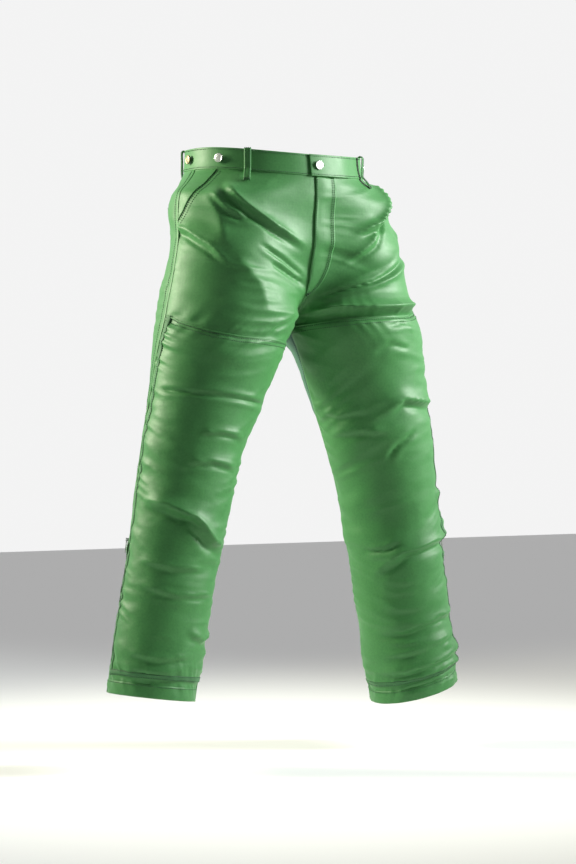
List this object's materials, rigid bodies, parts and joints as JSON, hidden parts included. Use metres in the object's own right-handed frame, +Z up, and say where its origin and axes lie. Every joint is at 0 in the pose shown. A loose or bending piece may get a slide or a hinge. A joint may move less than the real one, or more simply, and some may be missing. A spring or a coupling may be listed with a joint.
{
  "type": "chainsaw protective trousers",
  "caption": "Green chainsaw trousers with padded leg guards, waistband with brace buttons and belt loops, zipped fly, pockets and calf zips, posed with the legs apart.",
  "frame": {"origin": "middle of the waist opening, halfway up the waistband: the mount wearer_waist", "axes": "+X towards the wearer's left, -Y towards the front, +Z up"},
  "size_m": [0.7615, 0.3313, 1.0506],
  "materials": {
    "shell_nylon": "satin woven nylon",
    "back_nylon": "satin woven nylon, slightly bluer",
    "cut_padding": "layered cut-retardant fibre",
    "lining": "plain lining cloth",
    "zip_tape": "dark zip tape with moulded teeth",
    "silver_metal": "bright, slightly brushed",
    "brass_metal": "dull antique"
  },
  "bodies": {
    "root": {"right_front_panel": "shell_nylon", "right_back_panel": "back_nylon", "right_knee_fold": "back_nylon", "right_guard_padding_thigh": "cut_padding", "right_guard_cover_thigh": "shell_nylon", "left_front_panel": "shell_nylon", "left_back_panel": "back_nylon", "left_knee_fold": "back_nylon", "left_guard_padding_thigh": "cut_padding", "left_guard_cover_thigh": "shell_nylon", "right_pocket_facing": "shell_nylon", "right_pocket_bag": "lining", "left_pocket_facing": "shell_nylon", "left_pocket_bag": "lining", "hip_pocket": "back_nylon", "right_waistband": "shell_nylon", "left_waistband": "shell_nylon", "waist_button_tack": "brass_metal", "belt_loop_right_front": "shell_nylon", "belt_loop_right_back": "shell_nylon", "belt_loop_left_front": "shell_nylon", "belt_loop_left_back": "shell_nylon", "belt_loop_middle_back": "shell_nylon", "fly_facing": "shell_nylon", "fly_zip_left_stringer": "zip_tape", "fly_zip_right_stringer": "zip_tape", "fly_shield": "lining"},
    "left_shin": {"left_front_panel_below_knee": "shell_nylon", "left_back_panel_below_knee": "back_nylon", "left_hem_band": "shell_nylon", "left_guard_padding_shin": "cut_padding", "left_guard_cover_shin": "shell_nylon", "left_leg_zip_front_stringer": "zip_tape", "left_leg_zip_back_stringer": "zip_tape", "left_zip_shield": "lining"},
    "left_leg_zip_slider": {"left_leg_zip_slider": "brass_metal"},
    "left_leg_zip_pull": {"left_leg_zip_pull": "brass_metal"},
    "right_shin": {"right_front_panel_below_knee": "shell_nylon", "right_back_panel_below_knee": "back_nylon", "right_hem_band": "shell_nylon", "right_guard_padding_shin": "cut_padding", "right_guard_cover_shin": "shell_nylon", "right_leg_zip_front_stringer": "zip_tape", "right_leg_zip_back_stringer": "zip_tape", "right_zip_shield": "lining"},
    "right_leg_zip_slider": {"right_leg_zip_slider": "brass_metal"},
    "right_leg_zip_pull": {"right_leg_zip_pull": "brass_metal"},
    "fly_zip_slider": {"fly_zip_slider": "brass_metal"},
    "fly_zip_pull": {"fly_zip_pull": "brass_metal"},
    "waist_button": {"waist_button": "silver_metal"},
    "brace_button_right_front": {"brace_button_right_front": "silver_metal"},
    "brace_button_right_side": {"brace_button_right_side": "brass_metal"},
    "brace_button_right_back": {"brace_button_right_back": "brass_metal"},
    "brace_button_left_front": {"brace_button_left_front": "silver_metal"},
    "brace_button_left_side": {"brace_button_left_side": "brass_metal"},
    "brace_button_left_back": {"brace_button_left_back": "brass_metal"}
  },
  "joints": [
    {"name": "knee_left", "type": "hinge", "parent": "root", "child": "left_shin", "pos_m": [0.23, -0.0456, -0.571], "axis": [0.8829, -0.4695, 0], "range_deg": [0, 60], "deforming": ["left_knee_fold"]},
    {"name": "knee_right", "type": "hinge", "parent": "root", "child": "right_shin", "pos_m": [-0.222, -0.0456, -0.571], "axis": [0.8829, -0.4695, 0], "range_deg": [0, 60], "deforming": ["right_knee_fold"]},
    {"name": "leg_zip_left_slide", "type": "slide", "parent": "left_shin", "child": "left_leg_zip_slider", "axis": [0.1643, 0.0157, -0.9863], "range_m": [0, 0.237]},
    {"name": "leg_zip_left_pull", "type": "hinge", "parent": "left_leg_zip_slider", "child": "left_leg_zip_pull", "pos_m": [0.33415, -0.08356, -0.70339], "axis": [-0.4675, -0.8792, -0.0919], "range_deg": [0, 150]},
    {"name": "leg_zip_right_slide", "type": "slide", "parent": "right_shin", "child": "right_leg_zip_slider", "axis": [-0.1649, 0.0085, -0.9863], "range_m": [0, 0.2367]},
    {"name": "leg_zip_right_pull", "type": "hinge", "parent": "right_leg_zip_slider", "child": "right_leg_zip_pull", "pos_m": [-0.32159, -0.00271, -0.6919], "axis": [0.4683, 0.8807, -0.0707], "range_deg": [0, 150]},
    {"name": "fly_zip_slide", "type": "slide", "parent": "root", "child": "fly_zip_slider", "axis": [-0.009, 0.1349, -0.9908], "range_m": [0, 0.1245]},
    {"name": "fly_zip_pull", "type": "hinge", "parent": "fly_zip_slider", "child": "fly_zip_pull", "pos_m": [0.01531, -0.13922, -0.06733], "axis": [-1, 0, 0.0091], "range_deg": [0, 6]},
    {"name": "swivel_waist_button", "type": "hinge", "parent": "root", "child": "waist_button", "pos_m": [0, -0.14053, -0.013], "axis": [0, -1, 0], "continuous": true},
    {"name": "swivel_brace_button_right_front", "type": "hinge", "parent": "root", "child": "brace_button_right_front", "pos_m": [-0.15948, -0.05866, -0.00232], "axis": [-0.8632, -0.5049, 0], "continuous": true},
    {"name": "swivel_brace_button_right_side", "type": "hinge", "parent": "root", "child": "brace_button_right_side", "pos_m": [-0.175, 0.0155, 0.00013], "axis": [-0.9917, 0.1289, 0], "continuous": true},
    {"name": "swivel_brace_button_right_back", "type": "hinge", "parent": "root", "child": "brace_button_right_back", "pos_m": [-0.06592, 0.13254, 0.01032], "axis": [-0.3105, 0.9506, 0], "continuous": true},
    {"name": "swivel_brace_button_left_front", "type": "hinge", "parent": "root", "child": "brace_button_left_front", "pos_m": [0.15948, -0.05866, -0.00232], "axis": [0.8632, -0.5049, 0], "continuous": true},
    {"name": "swivel_brace_button_left_side", "type": "hinge", "parent": "root", "child": "brace_button_left_side", "pos_m": [0.175, 0.0155, 0.00013], "axis": [0.9917, 0.1289, 0], "continuous": true},
    {"name": "swivel_brace_button_left_back", "type": "hinge", "parent": "root", "child": "brace_button_left_back", "pos_m": [0.06592, 0.13254, 0.01032], "axis": [0.3105, 0.9506, 0], "continuous": true}
  ]
}
